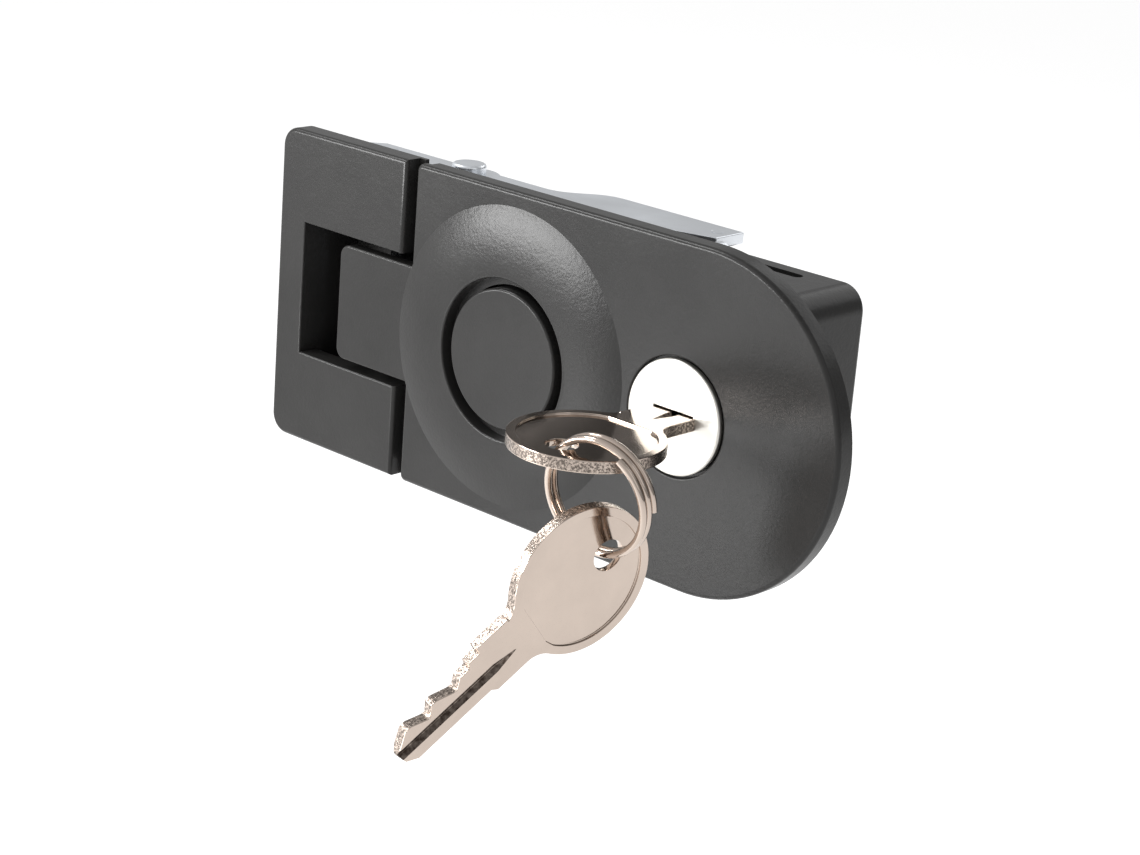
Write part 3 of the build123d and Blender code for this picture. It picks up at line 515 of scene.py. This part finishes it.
def plate(name, outline, low, high):
    """A flat plate with this outline, in millimetres, from one height to another."""
    piece = new_piece(name, [(u * MM, v * MM, low * MM) for u, v in outline], [range(len(outline))])
    bpy.ops.object.mode_set(mode="EDIT")
    bpy.ops.mesh.select_all(action="SELECT")
    bpy.ops.mesh.extrude_region_move(TRANSFORM_OT_translate={"value": (0, 0, (high - low) * MM)})
    bpy.ops.mesh.select_all(action="SELECT")
    bpy.ops.mesh.normals_make_consistent(inside=False)
    bpy.ops.object.mode_set(mode="OBJECT")
    return piece


def cut(piece, cutter):
    """Take a cutter away from a piece and delete the cutter."""
    activate(piece)
    modifier = piece.modifiers.new("cut", "BOOLEAN")
    modifier.operation = "DIFFERENCE"
    modifier.solver = "EXACT"
    modifier.object = cutter
    bpy.ops.object.modifier_apply(modifier=modifier.name)
    bpy.data.objects.remove(cutter)


def merged_copy(node, name):
    """A copy of a CAD node's mesh with its doubles merged, selected and active."""
    mesh = frame["nodes"][node].data.copy()
    mesh.materials.clear()
    piece = bpy.data.objects.new(name, mesh)
    bpy.context.scene.collection.objects.link(piece)
    activate(piece)
    bpy.ops.object.mode_set(mode="EDIT")
    bpy.ops.mesh.select_all(action="SELECT")
    bpy.ops.mesh.remove_doubles(threshold=MERGE_DISTANCE)
    bpy.ops.mesh.customdata_custom_splitnormals_clear()
    bpy.ops.object.mode_set(mode="OBJECT")
    return piece


def join_flats(piece):
    """Join the triangles of each flat face, so that its edges can be rounded."""
    activate(piece)
    bpy.ops.object.mode_set(mode="EDIT")
    bpy.ops.mesh.select_all(action="SELECT")
    bpy.ops.mesh.dissolve_limited(angle_limit=FLAT_ANGLE)
    bpy.ops.object.mode_set(mode="OBJECT")


def round_edges(piece, width, segments, chosen, sharp=SHARP_ANGLE):
    """Bevel the sharp edges whose two ends pass a test."""
    activate(piece)
    bpy.ops.object.mode_set(mode="EDIT")
    bpy.ops.mesh.select_mode(type="EDGE")
    bpy.ops.mesh.select_all(action="DESELECT")
    shape = bmesh.from_edit_mesh(piece.data)
    for edge in shape.edges:
        if len(edge.link_faces) == 2 and edge.calc_face_angle() > sharp:
            edge.select = all(chosen(vert.co) for vert in edge.verts)
    bmesh.update_edit_mesh(piece.data)
    bpy.ops.mesh.bevel(offset=width, offset_pct=0, segments=segments, profile=0.5, clamp_overlap=False)
    bpy.ops.mesh.select_mode(type="VERT")
    bpy.ops.object.mode_set(mode="OBJECT")


def finish_piece(piece, body, slot, nodes, smooth=30):
    """Smooth a piece, give it its finish, and have it ride and stand for its nodes."""
    activate(piece)
    bpy.ops.object.shade_smooth_by_angle(angle=math.radians(smooth))
    modifier = piece.modifiers.new("flat_faces", "WEIGHTED_NORMAL")
    modifier.keep_sharp = True
    bpy.ops.object.modifier_apply(modifier=modifier.name)
    piece.data.materials.clear()
    piece.data.materials.append(latch_material(slot))
    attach(piece, body)
    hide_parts(*nodes)


class LATCH_OT_housing(bpy.types.Operator):
    """Fixed block and box, with the edges of the pocket, the gap and the box's back rounded"""

    bl_idname = "latch.housing"
    bl_label = "Housing"

    def execute(self, context):
        edges = context.scene.latch_edges
        block = merged_copy("housing", "housing_block")
        join_flats(block)
        round_edges(block, edges.face_round, edges.segments, lambda co: co.y < FACE_Y + NEAR)
        round_edges(block, edges.box_round, edges.segments, lambda co: co.y > BOX_BACK_Y - NEAR)
        finish_piece(block, "housing", "black_paint", ["housing"])
        return {"FINISHED"}


def dome_profile():
    """Half section of the dome's ring: outer foot, convex slope, rounded lip and the well's wall."""
    points = [(DOME_RADIUS, FACE_Y + 2 * NEAR)]
    lip = WELL_RADIUS + WELL_ROUND
    crest = FACE_Y - DOME_RISE
    for index in range(DOME_SLOPE_STEPS + 1):
        radius = DOME_RADIUS + (lip - DOME_RADIUS) * index / DOME_SLOPE_STEPS
        share = (radius - WELL_RADIUS) / (DOME_RADIUS - WELL_RADIUS)
        points.append((radius, FACE_Y - DOME_RISE * (1 - share ** 2)))
    for index in range(1, WELL_ROUND_STEPS + 1):
        turn = math.radians(90 * index / WELL_ROUND_STEPS)
        radius = lip - WELL_ROUND * math.sin(turn)
        points.append((radius, crest + WELL_ROUND * (1 - math.cos(turn))))
    points += [(WELL_RADIUS, FACE_Y + WELL_DEPTH), (DOME_RADIUS - DOME_SKIRT, FACE_Y + WELL_DEPTH)]
    return points


class LATCH_OT_lever(bpy.types.Operator):
    """Lever shell with a smooth dome round the button's well"""

    bl_idname = "latch.lever"
    bl_label = "Lever"

    def execute(self, context):
        edges = context.scene.latch_edges
        shell = merged_copy("lever", "lever_shell")
        bpy.ops.object.mode_set(mode="EDIT")
        bpy.ops.mesh.select_all(action="DESELECT")
        shape = bmesh.from_edit_mesh(shell.data)
        for face in shape.faces:
            face.select = any(vert.co.y < FACE_Y - RAISED for vert in face.verts)
        bmesh.update_edit_mesh(shell.data)
        bpy.ops.mesh.delete(type="FACE")
        shape = bmesh.from_edit_mesh(shell.data)
        for edge in shape.edges:
            edge.select = edge.is_boundary
        bmesh.update_edit_mesh(shell.data)
        bpy.ops.mesh.bridge_edge_loops()
        bpy.ops.object.mode_set(mode="OBJECT")
        join_flats(shell)
        round_edges(shell, edges.face_round, edges.segments, lambda co: co.y < FACE_Y + NEAR)
        profile = dome_profile()
        dome = new_piece("lever_dome", [(BUTTON_X + r, y, 0) for r, y in profile], [range(len(profile))])
        bpy.ops.object.mode_set(mode="EDIT")
        bpy.ops.mesh.select_all(action="SELECT")
        bpy.ops.mesh.delete(type="ONLY_FACE")
        bpy.ops.mesh.select_all(action="SELECT")
        bpy.ops.mesh.spin(
            steps=DOME_STEPS, angle=math.tau, center=(BUTTON_X, 0, 0), axis=(0, 1, 0), use_auto_merge=True
        )
        bpy.ops.mesh.select_all(action="SELECT")
        bpy.ops.mesh.remove_doubles(threshold=MERGE_DISTANCE)
        bpy.ops.mesh.normals_make_consistent(inside=False)
        bpy.ops.object.mode_set(mode="OBJECT")
        activate(shell)
        dome.select_set(True)
        bpy.ops.object.join()
        finish_piece(shell, "lever", "black_paint", ["lever"])
        return {"FINISHED"}


class LATCH_OT_lock(bpy.types.Operator):
    """Lock plug with rounded edges on its disc and at its keyway"""

    bl_idname = "latch.lock"
    bl_label = "Lock"

    def execute(self, context):
        edges = context.scene.latch_edges
        plug = merged_copy("lock_plug", "lock_face")
        join_flats(plug)
        round_edges(plug, edges.sheet_round / 2, edges.segments, lambda co: co.y < DISC_Y + NEAR)
        finish_piece(plug, "lock_plug", "lock_nickel", ["lock_plug"])
        return {"FINISHED"}


class LATCH_OT_pawl(bpy.types.Operator):
    """Plated sheet pawl with rounded edges"""

    bl_idname = "latch.pawl"
    bl_label = "Pawl"

    def execute(self, context):
        edges = context.scene.latch_edges
        pawl = merged_copy("pawl", "pawl_channel")
        join_flats(pawl)
        round_edges(pawl, edges.sheet_round, edges.segments, lambda co: True)
        finish_piece(pawl, "pawl", "zinc_steel", ["pawl"])
        return {"FINISHED"}


class LATCH_OT_button(bpy.types.Operator):
    """Release button with a rounded rim"""

    bl_idname = "latch.button"
    bl_label = "Button"

    def execute(self, context):
        edges = context.scene.latch_edges
        button = merged_copy("release_button", "button_cap")
        join_flats(button)
        round_edges(button, edges.face_round, edges.segments, lambda co: co.y < BUTTON_LOW.y + NEAR)
        finish_piece(button, "button", "black_paint", ["release_button"])
        return {"FINISHED"}


class LATCH_OT_springs(bpy.types.Operator):
    """Coil springs of the button and the catch"""

    bl_idname = "latch.springs"
    bl_label = "Springs"

    def execute(self, context):
        springs = (
            ("button_spring", "button_coil", "button_press", Vector((0, 1, 0))),
            ("catch_spring", "catch_coil", "catch_slide", Vector((1, 0, 0))),
        )
        for node, name, joint, axis in springs:
            coil = merged_copy(node, name)
            finish_piece(coil, "lever", "spring_steel", [node])
            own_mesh(coil)
        return {"FINISHED"}


def arc(centre, radius, start, end, steps):
    """Points of a circular arc between two angles in degrees."""
    turns = [math.radians(start + (end - start) * index / steps) for index in range(steps + 1)]
    return [(centre[0] + radius * math.cos(t), centre[1] + radius * math.sin(t)) for t in turns]


def key_outline():
    """The key's outline: bow, necks, shoulder block, cuts and tip."""
    neck_across = SHANK_HALF + NECK_RADIUS
    neck_along = math.sqrt((BOW_RADIUS + NECK_RADIUS) ** 2 - neck_across ** 2)
    meet = math.degrees(math.atan2(neck_across, neck_along))
    points = arc((0, 0), BOW_RADIUS, meet, 360 - meet, BOW_STEPS)
    points += arc((neck_along, -neck_across), NECK_RADIUS, 180 - meet, NECK_STOP, CUT_NECK_STEPS)[1:]
    points += [(BLOCK_START, -SHANK_HALF), (BLOCK_START, -BLOCK_HALF), (BLOCK_END, -BLOCK_HALF)]
    points += CUT_PROFILE
    points += [(SHANK_END + SHANK_STEP, BLADE_HALF), (SHANK_END, SHANK_HALF)]
    points += arc((neck_along, neck_across), NECK_RADIUS, 270, 180 + meet, BACK_NECK_STEPS)[:-1]
    return points


def recess_outline(rim):
    """Field inside the bow's rim, cut off by a straight line with a short tab at each end."""
    radius = BOW_RADIUS - rim / MM
    reach = math.degrees(math.acos((RECESS_END - RECESS_CORNER) / radius))
    points = arc((0, 0), radius, reach, 360 - reach, RECESS_STEPS)
    side = -points[-1][1]
    tab = RECESS_END - RECESS_TAB_STEP
    return points + [
        (tab, -side + RECESS_TAB), (RECESS_END, -side + RECESS_TAB_END),
        (RECESS_END, side - RECESS_TAB_END), (tab, side - RECESS_TAB),
    ]


def groove_cutter(settings, side):
    """A V-shaped cutter with a pointed start, on one face of the key."""
    half = settings.groove_width / 2
    top = side * (KEY_THICKNESS * MM / 2 + CUTTER_ABOVE)
    low = side * (KEY_THICKNESS * MM / 2 - settings.groove_depth)
    places = (GROOVE_START, GROOVE_FULL, KEY_LENGTH + GROOVE_OVERRUN, GROOVE_OFFSET)
    start, full, end, offset = (place * MM for place in places)
    points = [
        (start, offset, top), (full, offset + half, top), (end, offset + half, top),
        (end, offset - half, top), (full, offset - half, top), (full, offset, low), (end, offset, low),
    ]
    faces = [(0, 1, 2, 3, 4), (0, 5, 1), (1, 5, 6, 2), (2, 6, 3), (3, 6, 5, 4), (4, 5, 0)]
    cutter = new_piece("groove_cutter", points, faces)
    bpy.ops.object.mode_set(mode="EDIT")
    bpy.ops.mesh.select_all(action="SELECT")
    bpy.ops.mesh.normals_make_consistent(inside=False)
    bpy.ops.object.mode_set(mode="OBJECT")
    return cutter


def mark_key_faces(key, depth):
    """Store where the key has stamped edges and where its groove runs, for its finish."""
    half = KEY_THICKNESS * MM / 2
    floor = half - depth
    for name in ("stamped_edge", "groove"):
        key.data.attributes.new(name, "FLOAT", "FACE")
    edge = key.data.attributes["stamped_edge"]
    groove = key.data.attributes["groove"]
    for index, face in enumerate(key.data.polygons):
        tilt = abs(face.normal.z)
        along, across, out = face.center
        sloped = GROOVE_TILT[0] < tilt < GROOVE_TILT[1]
        beside = along > GROOVE_START * MM and abs(across - GROOVE_OFFSET * MM) < GROOVE_REACH * MM
        in_groove = sloped and beside and floor - NEAR < abs(out) < half - NEAR
        in_hole = math.hypot(along + HOLE_OFFSET * MM, across) < (HOLE_RADIUS + HOLE_MARGIN) * MM
        edge.data[index].value = 1.0 if tilt < EDGE_TILT and not in_groove and not in_hole else 0.0
        groove.data[index].value = 1.0 if in_groove else 0.0


def key_mesh(settings):
    """One key, modelled flat in its own frame."""
    half = KEY_THICKNESS / 2
    key = plate("key", key_outline(), -half, half)
    depth = settings.recess_depth / MM
    for low, high in ((half - depth, half + depth), (-half - depth, -half + depth)):
        cut(key, plate("recess_cutter", recess_outline(settings.rim_width), low, high))
    for side in (1, -1):
        cut(key, groove_cutter(settings, side))
    bpy.ops.object.select_all(action="DESELECT")
    bpy.ops.mesh.primitive_cylinder_add(
        vertices=HOLE_SIDES, radius=HOLE_RADIUS * MM, depth=2 * KEY_THICKNESS * MM,
        location=(-HOLE_OFFSET * MM, 0, 0),
    )
    cut(key, bpy.context.object)
    round_edges(key, settings.edge_round, 2, lambda co: True, sharp=KEY_SHARP_ANGLE)
    mark_key_faces(key, settings.groove_depth)
    return key


def place_matrix(origin, along, out):
    """The matrix that puts a key's own frame at a bow centre, in millimetres."""
    across = out.cross(along).normalized()
    turn = Matrix((along, across, along.cross(across))).transposed().to_4x4()
    return Matrix.Translation(origin * MM) @ turn


class LATCH_OT_keys(bpy.types.Operator):
    """The key in the lock and the spare key on the ring"""

    bl_idname = "latch.keys"
    bl_label = "Keys"

    def execute(self, context):
        key = key_mesh(context.scene.latch_keys)
        low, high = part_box("inserted_key")
        bow = Vector(((low.x + high.x) / 2, low.y + BOW_RADIUS * MM, (low.z + high.z) / 2)) / MM
        spare_bow = SPARE_HANG + SPARE_BLADE * SPARE_HANG_TO_BOW
        places = (
            ("lock_key", "inserted_key", "inserted_key", bow, Vector((0, 1, 0)), Vector((0, 0, -1))),
            ("ring_key", "spare_key", "spare_key", spare_bow, SPARE_BLADE, SPARE_FLAT),
        )
        for name, node, body, origin, along, out in places:
            piece = bpy.data.objects.new(name, key.data.copy())
            context.scene.collection.objects.link(piece)
            piece.data.transform(place_matrix(origin, along, out))
            finish_piece(piece, body, "key_nickel", [node])
        bpy.data.objects.remove(key)
        return {"FINISHED"}


class LATCH_OT_ring(bpy.types.Operator):
    """Split ring of round wire, its two ends overlapping"""

    bl_idname = "latch.ring"
    bl_label = "Split ring"

    def execute(self, context):
        settings = context.scene.latch_ring
        across = RING_NORMAL.cross(Vector((0, 0, 1))).normalized()
        down = RING_NORMAL.cross(across)
        data = bpy.data.curves.new("split_ring", "CURVE")
        data.dimensions = "3D"
        data.bevel_depth = settings.wire_radius
        data.bevel_resolution = 5
        data.use_fill_caps = True
        spline = data.splines.new("POLY")
        count = round(settings.turns * RING_STEPS_PER_TURN)
        spline.points.add(count)
        for index in range(count + 1):
            turned = index / RING_STEPS_PER_TURN
            angle = math.radians(RING_START_ANGLE) + math.tau * turned
            shift = (turned - settings.turns / 2) * settings.pitch
            place = RING_CENTRE * MM + RING_NORMAL * shift
            place += (across * math.cos(angle) + down * math.sin(angle)) * RING_RADIUS * MM
            spline.points[index].co = (*place, 1.0)
        ring = bpy.data.objects.new("split_ring", data)
        context.scene.collection.objects.link(ring)
        activate(ring)
        bpy.ops.object.convert(target="MESH")
        finish_piece(context.object, "ring", "key_nickel", ["key_ring"], smooth=60)
        return {"FINISHED"}


class LATCH_OT_finishes(bpy.types.Operator):
    """Give every carried-over piece its finish"""

    bl_idname = "latch.finishes"
    bl_label = "Finishes"

    def execute(self, context):
        for row in frame["record"]["subparts"]:
            piece = frame["nodes"][row["node"]]
            piece.data.materials.clear()
            piece.data.materials.append(latch_material(row["material_slot"]))
        return {"FINISHED"}


def add_light(name, place, target, size, watts):
    """A soft rectangular studio light aimed at a point."""
    data = bpy.data.lights.new(name, "AREA")
    data.shape = "RECTANGLE"
    data.size, data.size_y = size
    data.energy = watts
    light = bpy.data.objects.new(name, data)
    light.location = place
    light.rotation_euler = (target - place).to_track_quat("-Z", "Y").to_euler()
    light.visible_camera = False
    bpy.context.scene.collection.objects.link(light)


def studio_world(scene):
    """White to the eye, and to the surfaces a soft tent that is brighter at the front left."""
    world = scene.world or bpy.data.worlds.new("studio")
    scene.world = world
    world.use_nodes = True
    tree = world.node_tree
    direction = tree.nodes.new("ShaderNodeTexCoord").outputs["Generated"]
    towards = tree.nodes.new("ShaderNodeVectorMath")
    towards.operation = "DOT_PRODUCT"
    towards.inputs[1].default_value = TENT_BRIGHT_SIDE
    tree.links.new(direction, towards.inputs[0])
    tent = add_range(tree, towards.outputs["Value"], -1.0, 1.0, *TENT_STRENGTH)
    eye = tree.nodes.new("ShaderNodeLightPath").outputs["Is Camera Ray"]
    background = tree.nodes["Background"]
    background.inputs["Color"].default_value = (1, 1, 1, 1)
    tree.links.new(add_math(tree, "MAXIMUM", tent, eye), background.inputs["Strength"])


class LATCH_OT_stage(bpy.types.Operator):
    """Add the floor, the studio lights and the camera"""

    bl_idname = "latch.stage"
    bl_label = "Stage"

    def execute(self, context):
        scene = context.scene
        scene.view_settings.view_transform = "Standard"
        bpy.ops.object.select_all(action="DESELECT")
        bpy.ops.mesh.primitive_plane_add(size=FLOOR_SIZE, location=(0, 0, FLOOR_Z))
        floor = context.object
        floor.name = "studio_floor"
        paint = bpy.data.materials.new("studio_floor")
        paint.use_nodes = True
        shader = paint.node_tree.nodes["Principled BSDF"]
        shader.inputs["Base Color"].default_value = (FLOOR_SHADE, FLOOR_SHADE, FLOOR_SHADE, 1)
        shader.inputs["Roughness"].default_value = FLOOR_ROUGHNESS
        shader.inputs["Emission Color"].default_value = (1, 1, 1, 1)
        shader.inputs["Emission Strength"].default_value = FLOOR_GLOW
        floor.data.materials.append(paint)
        studio_world(scene)
        for light in STUDIO_LIGHTS:
            add_light(*light)
        data = bpy.data.cameras.new("photo_camera")
        data.sensor_width = SENSOR_WIDTH
        data.lens = FOCAL_LENGTH_PX * SENSOR_WIDTH / IMAGE_WIDTH_PX
        data.clip_start = CLIP_START
        camera = bpy.data.objects.new("photo_camera", data)
        up = -CAMERA_DOWN
        back = CAMERA_RIGHT.cross(up)
        turn = Matrix((CAMERA_RIGHT, up, back)).transposed()
        camera.matrix_world = Matrix.Translation(CAMERA_PLACE) @ turn.to_4x4()
        scene.collection.objects.link(camera)
        scene.camera = camera
        return {"FINISHED"}


class LATCH_PT_pieces(bpy.types.Panel):
    """The latch's settings and the operators that build it"""

    bl_idname = "LATCH_PT_pieces"
    bl_label = "Lever Touch Latch"
    bl_space_type = "VIEW_3D"
    bl_region_type = "UI"
    bl_category = "Latch"

    def draw(self, context):
        for name in SETTINGS:
            group = getattr(context.scene, name)
            box = self.layout.box()
            for setting in group.__annotations__:
                box.prop(group, setting)
        for operator in OPERATORS:
            self.layout.operator(operator.bl_idname)


SETTINGS = {
    "latch_keys": LatchKeySettings,
    "latch_ring": LatchRingSettings,
    "latch_edges": LatchEdgeSettings,
    "latch_finish": LatchFinishSettings,
}
OPERATORS = (
    LATCH_OT_finishes, LATCH_OT_housing, LATCH_OT_lever, LATCH_OT_lock, LATCH_OT_pawl,
    LATCH_OT_button, LATCH_OT_springs, LATCH_OT_keys, LATCH_OT_ring, LATCH_OT_stage,
)


def register():
    for group in SETTINGS.values():
        bpy.utils.register_class(group)
    for name, group in SETTINGS.items():
        setattr(bpy.types.Scene, name, PointerProperty(type=group))
    for operator in OPERATORS:
        bpy.utils.register_class(operator)
    bpy.utils.register_class(LATCH_PT_pieces)


def unregister():
    bpy.utils.unregister_class(LATCH_PT_pieces)
    for operator in reversed(OPERATORS):
        bpy.utils.unregister_class(operator)
    for name, group in SETTINGS.items():
        delattr(bpy.types.Scene, name)
        bpy.utils.unregister_class(group)


def main():
    register()
    bpy.ops.latch.finishes()
    bpy.ops.latch.housing()
    bpy.ops.latch.lever()
    bpy.ops.latch.lock()
    bpy.ops.latch.pawl()
    bpy.ops.latch.button()
    bpy.ops.latch.springs()
    bpy.ops.latch.keys()
    bpy.ops.latch.ring()
    bpy.ops.latch.stage()


if __name__ == "__main__":
    main()
